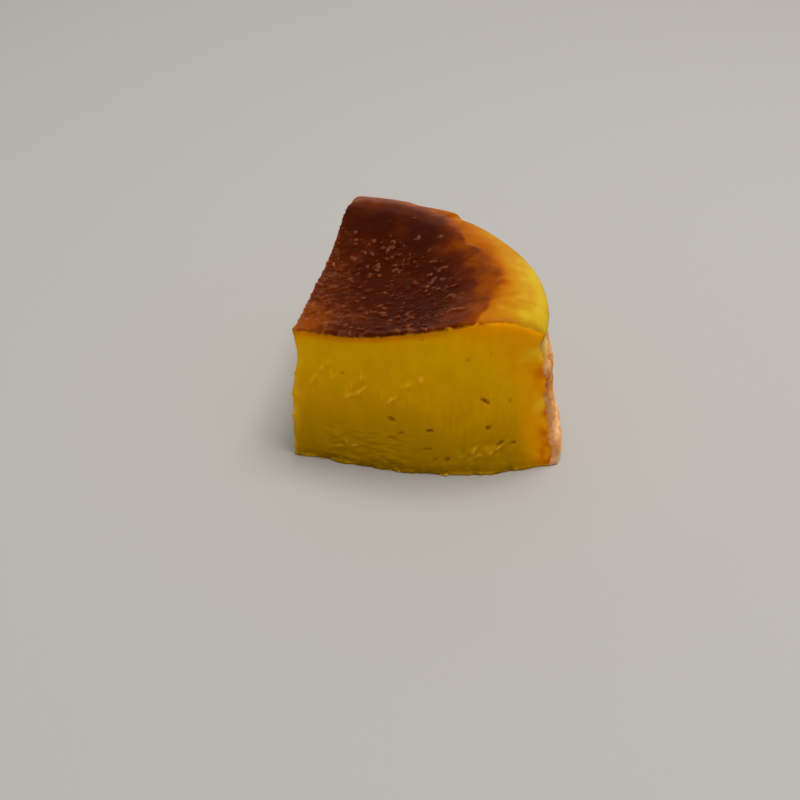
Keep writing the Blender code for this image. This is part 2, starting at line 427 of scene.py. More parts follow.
def distance_to_line(points, line):
    """Distance from each point to a broken line, how far along it that is, and on which side."""
    nearest = np.full(len(points), np.inf)
    run = np.zeros(len(points))
    side = np.zeros(len(points))
    travelled = 0.0
    for start, end in zip(line, line[1:]):
        step = end - start
        length = np.hypot(*step)
        off = points - start
        share = np.clip(off @ step / length ** 2, 0.0, 1.0)
        away = np.hypot(*(off - share[:, None] * step).T)
        closer = away < nearest
        nearest[closer] = away[closer]
        run[closer] = travelled + share[closer] * length
        side[closer] = np.sign(step[0] * off[closer, 1] - step[1] * off[closer, 0])
        travelled += length
    return nearest, run, side


def tip_setback(plan, height):
    """How far the soft tip gives way towards +X, as in the solid."""
    near_tip = hump(np.hypot(*plan.T), TIP_SOFT_LENGTH)
    lean = TIP_LEAN * np.clip(height, 0.0, None) / DISH_HEIGHT
    waist = TIP_WAIST_DEPTH * np.exp(-0.5 * ((height - TIP_WAIST_HEIGHT) / TIP_WAIST_SPREAD) ** 2)
    return near_tip * (lean + waist)


def slice_tip():
    """The foot of the slice's tip: the solid's lowest corner furthest to -X, in metres."""
    feet = [corner.co for corner in SOLID.data.vertices if corner.co.z < 0.1 * MM]
    return np.array(min(feet, key=lambda place: place.x))


def measure(places):
    """Where each place lies on the slice: runs along and depths under its surfaces, in millimetres.

    The setback of the tip depends on the place before it gave way, which a few rounds find.
    """
    at = SimpleNamespace(places=places, height=places[:, 2])
    at.lumps = partial(lumps, places)
    at.rough_lumps = partial(rough_lumps, places)
    plan = places[:, :2].copy()
    for _ in range(3):
        plan[:, 0] = places[:, 0] - tip_setback(plan, at.height)
    out = plan - np.array(CAKE_CENTRE)
    at.radius = np.hypot(*out.T)
    at.azimuth = np.degrees(np.arctan2(out[:, 1], out[:, 0]))
    profile, at.crest_run, at.crease_run = outside_profile()
    section = np.stack([at.radius, at.height], axis=1)
    at.skin_depth, at.run, _ = distance_to_line(section, profile)
    rim_start = int(np.argmax(profile[:, 0] >= CREST_RADIUS))
    at.rim_depth, _, _ = distance_to_line(section, profile[rim_start:])
    at.near_depth, _, _ = distance_to_line(plan, near_cut_line())
    at.far_depth, at.far_run, _ = distance_to_line(plan, far_cut_line())
    at.skin_side = np.minimum(at.near_depth, at.far_depth) - at.skin_depth
    at.near_chord = plan @ (np.array(NEAR_CUT_END) / np.hypot(*NEAR_CUT_END))
    at.from_tip = np.hypot(*plan.T)
    at.plan = plan
    return at


# In the functions below, lengths are in millimetres and angles round the cake in degrees.
# at.lumps and at.rough_lumps take the width of the lumps and a seed, then octaves and stretch.


def rim_blotches(at):
    """Amber blotches and pale lumps on the rim, as a change of browning."""
    wander = 1.0 + 0.5 * at.rough_lumps(2.4, 7, 2)
    change = np.zeros(len(at.places))
    for azimuth, run, wide, tone in RIM_BLOTCHES:
        across = np.radians(at.azimuth - azimuth) * at.radius
        change += tone * hump(np.hypot(across, at.run - run) * wander, wide)
    return change + 0.05 * at.lumps(8.0, 10)


def skin_patterns(at):
    """Browning from 0, pale, to 1, nearly burnt, and where blisters and wall skin are."""
    ragged = 0.9 * at.lumps(5.0, 3) + 0.30 * at.lumps(1.8, 4)
    brown_edge = np.interp(at.azimuth, *zip(*BROWN_EDGE)) + ragged
    yellow_edge = np.interp(at.azimuth, *zip(*YELLOW_EDGE)) + 1.2 * at.lumps(4.0, 5)
    inside = brown_edge - at.run
    fade = np.clip(-inside / np.maximum(yellow_edge - brown_edge, 1.0), 0.0, 3.0)

    edge_tone = EDGE_TONE + 0.09 * smooth(at.azimuth, 12.0, 26.0)
    deep = edge_tone + (MIDDLE_TONE - edge_tone) * smooth(inside, 0.0, 13.5)
    deep += 0.07 * at.rough_lumps(7.0, 6)
    tip_glow = 0.07 * hump(at.from_tip, 5.5) + 0.15 * hump(at.from_tip, 20.0)
    cut_glow = 0.11 * hump(at.far_depth, 9.0) + 0.18 * hump(at.far_depth, 0.5)
    cut_glow += 0.03 * hump(at.near_depth, 2.0)
    # Painted sheen: the back of the crest is drawn lighter tan-orange, as the gloss there catches the light.
    crest_painted_sheen = 0.30 * smooth(at.run, 43.0, 56.0) * smooth(at.azimuth, 26.0, 46.0)
    crest_painted_sheen += 0.12 * hump(at.azimuth - 47.0, 7.0) * smooth(at.run, 50.0, 57.0)
    deep -= tip_glow + cut_glow + crest_painted_sheen
    rim = RIM_TONE - 0.12 * smooth(-at.azimuth, 6.0, 15.0) - 0.26 * smooth(fade, 0.0, 1.5)
    rim -= 0.18 * smooth(fade, 1.3, 3.0) * (1.0 - 0.85 * smooth(at.azimuth, 4.0, 30.0))
    rim += rim_blotches(at) + 0.14 * smooth(at.run, at.crest_run + 9.5, at.crease_run)
    rim += 0.10 * hump(at.near_depth, 3.0) * smooth(at.run, at.crest_run + 4.0, at.crest_run + 10.0)
    blur = 0.5 + 2.2 * hump(at.azimuth - 10.0, 11.0) + 1.6 * smooth(at.azimuth, 33.0, 38.0)
    at.browning = rim + (deep - rim) * smooth(inside / blur, -1.0, 1.0)
    at.browning -= 0.24 * smooth(-at.skin_side, 0.0, 0.7) * (at.run < at.crest_run)

    below_crease = at.run - at.crease_run
    wall_edge = WALL_SKIN_START - 1.4 * smooth(at.azimuth, 15.0, 45.0) + 1.9 * at.rough_lumps(7.5, 8)
    at.wall_skin = smooth(below_crease, wall_edge - 1.3, wall_edge + 1.1)
    at.cream = smooth(below_crease, -1.6, 0.2) * (1.0 - 0.75 * smooth(at.azimuth, 34.0, 50.0))
    at.cream *= 1.0 - 0.6 * hump(at.near_depth, 2.6)
    at.blistered = 1.0 - smooth(at.radius + 3.5 * at.lumps(8.0, 9), *BLISTERED_RADII)
    back_crest = smooth(at.run, 44.0, 51.0) * smooth(at.azimuth, 34.0, 50.0)
    at.sheen = (1.0 - at.blistered) * (0.3 + 0.3 * smooth(at.azimuth, 22.0, 40.0) + 1.2 * back_crest)
    return at


def in_oval(right, up, turn, half_length, half_width):
    """Where places lie in a turned oval, along it and beside it: 1 is its rim."""
    along = (right * math.cos(turn) + up * math.sin(turn)) / half_length
    beside = (up * math.cos(turn) - right * math.sin(turn)) / half_width
    return along, beside


def blister_relief(at, sizes):
    """Domes and crescents of many sizes on the browned top, in millimetres."""
    draw = random.Random(BLISTER_SEED)
    relief = np.zeros(len(at.places))
    at.bubble = np.zeros(len(at.places))
    on_top = (at.run < at.crest_run) & (at.skin_depth < 1.5)
    plans = at.plan[on_top]
    rough = at.blistered[on_top]
    added = np.zeros(len(plans))
    spots = [(place, 1.3) for place in BLISTERS]
    while len(spots) < sizes.blisters + len(BLISTERS):
        index = draw.randrange(len(plans))
        if draw.random() < 0.06 + 0.94 * rough[index] ** 2:
            spots.append((plans[index], draw.uniform(0.70, 1.10)))
    for (x, y), strength in spots:
        radius = draw.uniform(0.60, 1.25) * strength
        angle = draw.uniform(0.0, math.pi)
        slim = draw.uniform(0.45, 0.95)
        along, beside = in_oval(plans[:, 0] - x, plans[:, 1] - y, angle, radius, radius * slim)
        dome = np.clip(1.0 - along ** 2 - beside ** 2, 0.0, None) ** 1.5
        sunk = np.clip(1.0 - 2.4 * (along ** 2 + (beside - 0.35) ** 2), 0.0, None) ** 1.5
        added += strength * (dome - draw.uniform(0.2, 0.8) * sunk)
    relief[on_top] = added * sizes.blister / MM
    at.bubble[on_top] = np.clip(1.3 * added, 0.0, 1.0)
    return relief


def top_relief(at, sizes):
    """The browned top: blisters, wrinkles between them and slow waves."""
    wrinkle = sizes.wrinkle / MM
    pillows = 2.0 * np.abs(at.lumps(2.6, 11)) + 0.9 * np.abs(at.lumps(1.5, 12)) - 0.6
    patchy = 0.5 + 0.9 * smooth(at.lumps(6.0, 13), -0.2, 0.3)
    relief = 0.2 + at.blistered * patchy * wrinkle * (0.75 * pillows + 0.2 * at.lumps(1.0, 14))
    shallow = 0.16 * at.lumps(3.2, 15) * (1.0 - at.blistered)
    relief += shallow * smooth(at.crest_run - at.run, 0.0, 6.0)
    relief += 0.22 * at.lumps(13.0, 16)
    relief += blister_relief(at, sizes)
    return relief * smooth(at.skin_side, -0.6, 0.4) * smooth(at.crest_run + 9.0 - at.run, 0.0, 6.0)


def rim_relief(at):
    """The rolled rim: soft waves, a lip where the browning ends and a lifted corner of skin."""
    on_rim = smooth(at.run, at.crest_run - 6.0, at.crest_run) * smooth(at.crease_run - at.run, 0.0, 2.0)
    waves = 0.30 * at.lumps(9.0, 21) + 0.12 * at.lumps(3.5, 22)
    lip = 0.28 * smooth(at.browning, 0.58, 0.74)
    azimuth, run = LIFTED_TONGUE
    tongue = 0.35 * at.rough_lumps(2.6, 24) * hump(at.azimuth - azimuth, 4.5) * hump(at.run - run, 3.5)
    past_corner = at.azimuth - FAR_CORNER_AZIMUTH
    corner = hump(past_corner, 6.5) * smooth(past_corner, -0.8, 0.0)
    corner *= hump(at.run - at.crest_run - 6.5, 3.2)
    relief = on_rim * waves + tongue + lip * smooth(at.run, 30.0, 42.0) + 0.9 * corner
    return relief * smooth(at.skin_side, -0.6, 0.4)


def wall_relief(at, sizes):
    """The wall: browned skin in lumps and flakes, with a fold just above the foot."""
    lump = sizes.wall_lump / MM
    at.flakes = smooth(at.rough_lumps(4.6, 31), -0.25, 0.45)
    creases = at.rough_lumps(1.3, 33, 2, (3.0, 3.0, 1.0))
    fine = at.rough_lumps(1.3, 34, 2)
    relief = at.wall_skin * lump * (0.6 * at.flakes + 0.3 * creases + 0.55 * fine - 0.3)
    relief += 0.35 * at.lumps(8.0, 36)
    fold_height = FOLD_HEIGHT + 1.2 * at.lumps(9.0, 37)
    relief += 0.55 * smooth(fold_height - at.height, -0.4, 0.5) - 0.30
    on_wall = smooth(at.run - at.crease_run, 0.5, 2.5) * smooth(at.skin_side, -WALL_WRAP - 0.3, 0.2)
    return relief * on_wall


def pit_list(sizes):
    """Each cut's pits: the near cut's as seen, the far cut's at random."""
    draw = random.Random(PIT_SEED)
    pits = [("near", *pit) for pit in PITS]
    for _ in range(sizes.far_pits):
        place = draw.uniform(6.0, 60.0), draw.uniform(3.0, 33.0)
        form = draw.uniform(0.7, 2.4), draw.uniform(0.5, 1.1), draw.uniform(-50, 50), draw.uniform(0.4, 0.8)
        pits.append(("far", *place, *form))
    return pits


def pit_relief(at, sizes):
    """How deep the pits reach at each place, in millimetres, and how much painted shade darkens them."""
    depth = np.zeros(len(at.places))
    dark = np.zeros(len(at.places))
    for side, run, height, length, width, tilt, deep in pit_list(sizes):
        along_cut, under = (at.near_chord, at.near_depth) if side == "near" else (at.far_run, at.far_depth)
        half_length, half_width = 0.5 * length + PIT_BLUR, 0.5 * width + PIT_BLUR
        off = along_cut - run, at.height - height
        along, beside = in_oval(*off, math.radians(tilt), half_length, half_width)
        bowl = np.clip(1.0 - along ** 2 - beside ** 2, 0.0, None) * (under < MARK_REACH)
        depth = np.maximum(depth, 0.8 * deep * np.sqrt(bowl))
        # Painted shade in the pit, where the mesh is too coarse to show it.
        dark = np.maximum(dark, smooth(bowl, 0.0, 0.7) * smooth(deep, 0.1, 0.8))
    return depth, dark


def tear_relief(at):
    """Torn ledges on the near cut: how proud each place is, and how near to a torn lip, 0 to 1."""
    ledge = np.zeros(len(at.places))
    lips = np.zeros(len(at.places))
    on_cut = np.stack([at.near_chord, at.height], axis=1)
    wander = np.stack([at.lumps(1.6, 41), at.lumps(1.6, 42)], axis=1)
    broken = np.clip(0.75 + 1.1 * at.lumps(1.4, 43), 0.0, 1.2)
    for line in TEARS:
        line = np.array(line, float)
        away, run, side = distance_to_line(on_cut + 0.4 * wander, line)
        length = np.hypot(*np.diff(line, axis=0).T).sum()
        middle = smooth(0.55 * length - np.abs(run - 0.5 * length), 0.0, 0.3 * length)
        behind = np.where(side > 0.0, np.exp(-away / 1.1), 1.0 - smooth(away, 0.0, 0.35))
        ledge = np.maximum(ledge, behind * broken * middle)
        lips = np.maximum(lips, hump(away, 0.34) * broken * (0.3 + 0.7 * middle))
    near = at.near_depth < MARK_REACH
    return ledge * near, lips * near


def patches(at, spots):
    """How strongly each place lies in one of the named patches, 0 to 1."""
    wander = 1.0 + 0.6 * at.rough_lumps(2.0, 64, 2)
    strength = np.zeros(len(at.places))
    for run, height, wide, high in spots:
        off = np.hypot((at.near_chord - run) / wide, (at.height - height) / high)
        strength = np.maximum(strength, hump(off * wander, 1.0))
    return strength * (at.near_depth < PATCH_REACH)


def drag_marks(at):
    """Marks of the knife: upright scratches in the tip's half, level smears and torn bits below."""
    run, height = at.near_chord, at.height
    upright = np.clip(at.rough_lumps(1.0, 44, 2, (1.0, 1.0, 3.5)) - 0.15, 0.0, None)
    level = at.rough_lumps(1.0, 46, 2, (3.0, 3.0, 0.9))
    chunks = at.rough_lumps(1.7, 48, 3)
    high_left = smooth(run, 2.0, 6.0) * (1.0 - smooth(run, 26.0, 34.0)) * smooth(height, 17.0, 21.0)
    high_left *= 1.0 - smooth(height, 27.0, 31.0)
    low_left = smooth(run, 5.0, 9.0) * (1.0 - smooth(run, 24.0, 32.0)) * (1.0 - smooth(height, 8.0, 13.0))
    low_right = hump(run - ROUGH_PATCH[0], 6.5) * hump(height - ROUGH_PATCH[1], 3.6)
    fine = at.lumps(0.8, 45, (1.0, 1.0, 4.5))
    fine *= hump(run - FINE_SCRATCHES[0], 10.0) * hump(height - FINE_SCRATCHES[1], 9.0)
    return 0.45 * upright * high_left + 0.36 * level * low_left + 0.38 * chunks * low_right + 0.18 * fine


def far_marks(at):
    """Marks on the far cut: slanting smears low down and torn patches here and there."""
    slant = at.places + np.outer(at.far_run, (0.0, 0.0, 0.25))
    smears = rough_lumps(slant, 1.0, 81, 2, (3.6, 3.6, 0.9))
    torn = smooth(at.lumps(11.0, 83), 0.0, 0.35) * smooth(at.height, 3.0, 8.0)
    smeared = 0.16 * smears * (1.0 - smooth(at.height, 12.0, 26.0))
    return smeared + 0.30 * at.rough_lumps(1.8, 84) * torn


def cut_relief(at, sizes):
    """The knife-cut faces: slow waves, knife marks, torn ledges, pits and a frayed foot."""
    near = at.near_depth < at.far_depth
    waves = 0.17 * at.lumps(9.0, 51) + 0.05 * at.lumps(2.4, 52, (1.0, 1.0, 4.0))
    at.pit_depth, at.pit_dark = pit_relief(at, sizes)
    ledge, at.lips = tear_relief(at)
    lift = sizes.tear / MM * ledge
    frayed = at.rough_lumps(3.6, 55)
    rag = sizes.foot_rag / MM * frayed * (1.0 - smooth(at.height, 0.4, 3.0))
    spread = 1.1 * smooth(at.rough_lumps(6.0, 57, 3), -0.25, 0.45)
    skirt = sizes.foot_rag / MM * (0.5 + spread) * (1.0 - smooth(at.height, 0.1, 0.9)) * near
    low = 0.16 * at.rough_lumps(1.6, 58) * (1.0 - smooth(at.height, 3.0, 8.0)) * near
    on_top_edge = hump(at.skin_side + 0.4, 0.9) * (at.run < at.crest_run + 4.0)
    crumbly_edge = 0.30 * at.rough_lumps(1.4, 61) * on_top_edge
    edge_stain = np.clip(0.40 + 1.1 * at.rough_lumps(3.0, 67, 2), 0.0, 1.0)
    edge_stain *= hump(at.rim_depth - 1.8, 1.5) * (1.0 - smooth(at.height, 20.0, 27.0))
    under_brown = 0.55 * hump(at.skin_depth - 1.0, 0.8) * smooth(48.0 - at.run, 0.0, 14.0)
    at.stain = np.maximum(0.75 * patches(at, STAINS), np.maximum(edge_stain, under_brown))
    # Painted glow: the cut is paler where the custard is thin, along the tip and the far cut's edge, as if
    # lit through; with the patches it is painted highlight.
    uneven = np.clip(0.6 + 0.9 * at.lumps(3.0, 68), 0.0, 1.0)
    thin = uneven * (0.8 * hump(at.far_depth, 1.5) * near + 0.25 * hump(at.near_depth, 0.8) * ~near)
    at.pale = np.maximum(patches(at, PAINTED_HIGHLIGHTS), thin * smooth(34.0 - at.height, 0.0, 4.0))
    foot_lips = 0.8 * (1.0 - smooth(at.height, 0.3, 1.0)) * near * smooth(frayed, -0.2, 0.3)
    at.lips = np.maximum(at.lips, foot_lips)
    on_cut = smooth(-at.skin_side, -0.5, 0.5)
    at.marks = np.where(near, drag_marks(at), far_marks(at))
    return on_cut * (waves + at.marks + lift - at.pit_depth + rag + skirt + low + crumbly_edge)


def slumped(at, sizes):
    """How far each place sinks, in millimetres: the rim's corner does, and the near edge stands up."""
    corner = sizes.corner_slump / MM * hump(at.near_depth, 3.2)
    corner *= smooth(at.radius, 50.0, 56.0) * smooth(at.height, 34.5, 38.5)
    edge = 0.9 * hump(at.near_depth, 5.0) * hump(at.near_chord - RAISED_EDGE_RUN, 11.0)
    return corner - edge * smooth(at.height, 27.0, 34.0)


def tip_nub_push(at):
    """How far the tip's edge stands out towards -X, keen and with small nubs, in millimetres."""
    nubs = sum(out * hump(at.height - height, half) for height, out, half in TIP_NUBS)
    return hump(at.from_tip, 0.9) * nubs + TIP_SHARPNESS * hump(at.from_tip, 1.4)


def remeshed_solid(sizes):
    """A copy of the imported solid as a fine, even mesh, lightly smoothed."""
    blank = add_object("slice_blank", SOLID.data.copy())
    even = blank.modifiers.new("Even mesh", "REMESH")
    even.mode = "VOXEL"
    even.voxel_size = sizes.grain
    even.use_smooth_shade = True
    soften = blank.modifiers.new("Soften", "SMOOTH")
    soften.factor = 0.5
    soften.iterations = 2
    graph = bpy.context.evaluated_depsgraph_get()
    mesh = bpy.data.meshes.new_from_object(blank.evaluated_get(graph))
    bpy.data.objects.remove(blank, do_unlink=True)
    return mesh


def ease(mesh, places, share, rounds):
    """Round the mesh off by drawing each corner towards its neighbours, as far as its share."""
    ends = np.zeros(len(mesh.edges) * 2, dtype=np.int64)
    mesh.edges.foreach_get("vertices", ends)
    first, second = ends.reshape(-1, 2).T
    count = np.bincount(ends, minlength=len(places))[:, None]
    for _ in range(rounds):
        pull = np.zeros_like(places)
        for axis in range(3):
            pull[:, axis] = np.bincount(first, places[second, axis], len(places))
            pull[:, axis] += np.bincount(second, places[first, axis], len(places))
        places = places + share[:, None] * (pull / count - places)
    return places


def simplify_base(mesh):
    """Join the flat faces that the slice stands on into one, because none of them shows."""
    builder = bmesh.new()
    builder.from_mesh(mesh)
    flat = [face for face in builder.faces if all(corner.co.z < 0.001 * MM for corner in face.verts)]
    bmesh.ops.dissolve_faces(builder, faces=flat, use_verts=True)
    builder.to_mesh(mesh)
    builder.free()


def shape_surface(mesh, sizes):
    """Push the even mesh into the baked and cut surface, and keep the numbers that the material reads."""
    count = len(mesh.vertices)
    flat = np.zeros(count * 3)
    mesh.vertices.foreach_get("co", flat)
    places = (flat.reshape(-1, 3) - slice_tip()) / MM
    mesh.vertex_normals.foreach_get("vector", flat)
    normals = flat.reshape(-1, 3)

    at = skin_patterns(measure(places))
    relief = top_relief(at, sizes) + rim_relief(at) + wall_relief(at, sizes) + cut_relief(at, sizes)
    moved = places + normals * relief[:, None]
    moved[:, 2] -= slumped(at, sizes)
    moved[:, 0] -= tip_nub_push(at)
    soft = hump(at.skin_side, 3.0) * smooth(at.radius, 46.0, 50.0) * smooth(at.height, 33.0, 36.0)
    low_corner = 0.7 * hump(at.skin_side, 1.5) * smooth(at.radius, 55.0, 58.0) * smooth(at.height, 0.5, 2.0)
    moved = ease(mesh, moved, EASE_SHARE * np.maximum(soft, low_corner), EASE_ROUNDS)
    base = (at.height < 0.25) & (normals[:, 2] < -0.9)
    moved[base, :2] = places[base, :2]
    moved[:, 2] = np.clip(moved[:, 2], 0.0, None)
    moved[base, 2] = 0.0
    mesh.vertices.foreach_set("co", (moved * MM + slice_tip()).ravel())
    mesh.update()

    wrap = WALL_WRAP * smooth(30.0 - at.height, 0.0, 4.0) * (0.75 + 0.8 * at.rough_lumps(3.0, 72, 2))
    wrap *= hump(at.rim_depth, 2.6)
    torn_back = hump(at.near_chord - TORN_SKIN_RUN, 6.0) * smooth(at.lumps(1.1, 71), 0.15, 0.5)
    at.skin_side = at.skin_side + wrap - 0.85 * torn_back * hump(at.near_depth, 1.0)
    for name in KEPT_NUMBERS:
        layer = mesh.attributes.new(name, "FLOAT", "POINT")
        layer.data.foreach_set("value", getattr(at, name).astype(np.float32))


def put(tree, kind, settings, out=0):
    """Add one shader node and return one of its outputs; a setting that is a socket is a link to it."""
    node = tree.nodes.new("ShaderNode" + kind)
    for name, value in settings.items():
        if isinstance(value, bpy.types.NodeSocket):
            tree.links.new(value, node.inputs[name])
        elif isinstance(name, int) or name in node.inputs:
            node.inputs[name].default_value = value
        else:
            setattr(node, name, value)
    return node.outputs[out] if node.outputs else None


def opaque(colour):
    """A colour with full alpha, as sockets want it."""
    return (*colour, 1.0)


def set_stops(ramp, stops):
    """Give a colour ramp its stops: a position and a colour each."""
    while len(ramp.elements) < len(stops):
        ramp.elements.new(0.5)
    for element, (position, colour) in zip(ramp.elements, stops):
        element.position = position
        element.color = opaque(colour)


def start_material(name, patterns, kept=()):
    """An empty material, and what its nodes start from: its patterns and the mesh's own numbers."""
    material = bpy.data.materials.new(name)
    material.use_nodes = True
    tree = material.node_tree
    tree.nodes.clear()
    metres = put(tree, "TexCoord", {}, out="Object")
    place = put(tree, "VectorMath", {"operation": "SCALE", "Scale": 1.0 / MM, 0: metres})
    at = SimpleNamespace()
    for number in kept:
        setattr(at, number, put(tree, "Attribute", {"attribute_name": number}, out="Fac"))
    for pattern, (size, octaves, roughness, twist, stretch) in patterns.items():
        scaled = put(tree, "Mapping", {"Scale": stretch, "Vector": place})
        lumpy = {"Scale": 1.0 / size, "Detail": octaves, "Roughness": roughness, "Distortion": twist}
        setattr(at, pattern, put(tree, "TexNoise", {**lumpy, "Vector": scaled}))
    return material, tree, at


def custard_colour(tree, at, colours):
    """Set custard: even yellow, deepened by painted shade towards the foot, orange under the rim and the
    wall with a painted glow there.
    """
    # Painted shade: the cut's colour darkens from its upper half down to its foot.
    shade_towards_foot = put(tree, "MapRange", {"interpolation_type": "SMOOTHSTEP", "From Min": 34.0, "From Max": -2.0,
                                   "Value": at.height})
    upper = {"data_type": "RGBA", FROM: opaque(colours.custard), TO: opaque(colours.custard_shaded_low)}
    shade = put(tree, "Mix", {**upper, SHARE: shade_towards_foot}, MIXED)
    wander = put(tree, "Math", {"operation": "MULTIPLY_ADD", 0: at.custard_clouds, 1: 6.0, 2: -3.0})
    uneven = put(tree, "Math", {"operation": "ADD", 0: at.rim_depth, 1: wander})
    # The band under the rim and the wall is partly the custard's own deeper orange and partly a painted glow
    # of light through the thin custard.
    band = put(tree, "MapRange", {"interpolation_type": "SMOOTHSTEP", "From Min": 10.5, "From Max": 2.5,
                                  "Value": uneven})
    # The pale custard laid over it is painted highlight and painted glow of light through thin custard.
    for colour, share in (
        (colours.custard_orange_and_glow, band), (colours.custard_stain, at.stain), (colours.custard_painted_light, at.pale),
    ):
        over = {"data_type": "RGBA", SHARE: share, FROM: shade, TO: opaque(colour)}
        shade = put(tree, "Mix", over, MIXED)

    tone = put(tree, "MapRange", {"From Min": 0.25, "From Max": 0.75, "To Min": 0.955, "To Max": 1.045,
                                  "Value": at.knife_streaks})
    # Painted shade: the cut darkens over its lowest few millimetres, where it meets the ground.
    foot_painted_shade = put(tree, "MapRange", {"From Min": 0.3, "From Max": 3.0, "To Min": 0.72, "Value": at.height})
    cloud_tone = put(tree, "MapRange", {"From Min": 0.3, "From Max": 0.7, "To Min": 0.95, "To Max": 1.05,
                                        "Value": at.custard_clouds})
    for part in (foot_painted_shade, cloud_tone):
        tone = put(tree, "Math", {"operation": "MULTIPLY", 0: tone, 1: part})
    # Painted shade and highlight: the knife marks' relief is laid into the colour, lighter where it stands
    # up.
    mark_shaded = put(tree, "Math", {"operation": "MULTIPLY_ADD", 0: at.marks, 1: 0.4, 2: tone})
    shade = put(tree, "VectorMath", {"operation": "SCALE", 0: shade, "Scale": mark_shaded})
    # Painted highlight on torn lips that catch the light (at the foot, the custard's own pale torn film),
    # then painted shade in the pits.
    for colour, strength, share in ((colours.torn, 0.68, at.lips), (colours.pit, 0.75, at.pit_dark)):
        share = put(tree, "Math", {"operation": "MULTIPLY", 0: share, 1: strength, "use_clamp": True})
        over = {"data_type": "RGBA", SHARE: share, FROM: shade, TO: opaque(colour)}
        shade = put(tree, "Mix", over, MIXED)
    return shade


def skin_colour(tree, at, colours):
    """Baked skin: it goes from yellow through orange and amber to dark brown as it browns; blister tops and
    some mottled patches carry painted glints and sheen.
    """
    shift = put(tree, "Math", {"operation": "MULTIPLY_ADD", 0: at.brown_blots, 1: 0.26, 2: -0.13})
    centred = put(tree, "Math", {"operation": "SUBTRACT", 0: at.brown_mottle, 1: 0.5})
    share = put(tree, "Math", {"operation": "MULTIPLY_ADD", 0: at.blistered, 1: 0.46, 2: 0.08})
    mottled = put(tree, "Math", {"operation": "MULTIPLY_ADD", 0: centred, 1: share, 2: shift})
    raised = put(tree, "Math", {"operation": "MULTIPLY_ADD", 0: at.bubble, 1: -0.10, 2: mottled})
    browned = put(tree, "Math", {"operation": "ADD", 0: at.browning, 1: raised})
    baked = put(tree, "ValToRGB", {0: browned})
    set_stops(baked.node.color_ramp, (
        (0.14, colours.yellow), (0.32, colours.golden), (0.50, colours.orange),
        (0.64, colours.amber), (0.80, colours.brown), (0.97, colours.dark),
    ))

    # Painted glints on blister tops, and patches of the mottle drawn in the same tan, partly the skin's own
    # mottling and partly painted sheen.
    crest = put(tree, "MapRange", {"From Min": 0.40, "From Max": 1.0, "To Max": 0.30, "Value": at.bubble})
    tan_and_sheen_patches = put(tree, "MapRange", {"From Min": 0.46, "From Max": 0.66, "To Max": 0.68,
                                    "Value": at.brown_mottle})
    thin = put(tree, "MapRange", {"From Min": 0.78, "From Max": 0.98, "To Min": 1.0, "To Max": 0.08,
                                  "Value": at.browning})
    for part in (thin, at.blistered):
        tan_and_sheen_patches = put(tree, "Math", {"operation": "MULTIPLY", 0: tan_and_sheen_patches, 1: part})
    tan = put(tree, "Math", {"operation": "MAXIMUM", 0: crest, 1: tan_and_sheen_patches})
    over = {"data_type": "RGBA", SHARE: tan, FROM: baked, TO: opaque(colours.blister)}
    return put(tree, "Mix", over, MIXED)


def wall_colour(tree, at, colours, top_skin):
    """Browned side skin: tan lumps, paler on their raised tops and deeper orange in the hollows partly as
    painted highlight and shade, cream under the crease.
    """
    tone = put(tree, "Math", {"operation": "MULTIPLY_ADD", 0: at.wall_clouds, 1: 0.55, 2: 0.02})
    # The flakes' share is painted light: paler on the raised flakes, deeper in the hollows between them; the
    # clouds, blots and grain are the skin's own tone.
    for part, weight in ((at.wall_blots, 0.50), (at.wall_grain, 0.40), (at.flakes, 0.20)):
        centred = put(tree, "Math", {"operation": "SUBTRACT", 0: part, 1: 0.5})
        tone = put(tree, "Math", {"operation": "MULTIPLY_ADD", 0: centred, 1: weight, 2: tone})
    low = put(tree, "MapRange", {"From Min": 6.0, "From Max": 24.0, "To Min": 0.37, "To Max": 0.28,
                                 "Value": at.height})
    toned = put(tree, "Math", {"operation": "ADD", 0: tone, 1: low})
    tan = put(tree, "ValToRGB", {0: toned})
    set_stops(tan.node.color_ramp, (
        (0.22, colours.wall_brown), (0.36, colours.wall_deep),
        (0.52, colours.wall), (0.74, colours.wall_pale),
    ))
    under_crease = {"data_type": "RGBA", SHARE: at.cream, FROM: top_skin, TO: opaque(colours.cream)}
    creamy = put(tree, "Mix", under_crease, MIXED)
    return put(tree, "Mix", {"data_type": "RGBA", SHARE: at.wall_skin, FROM: creamy, TO: tan}, MIXED)


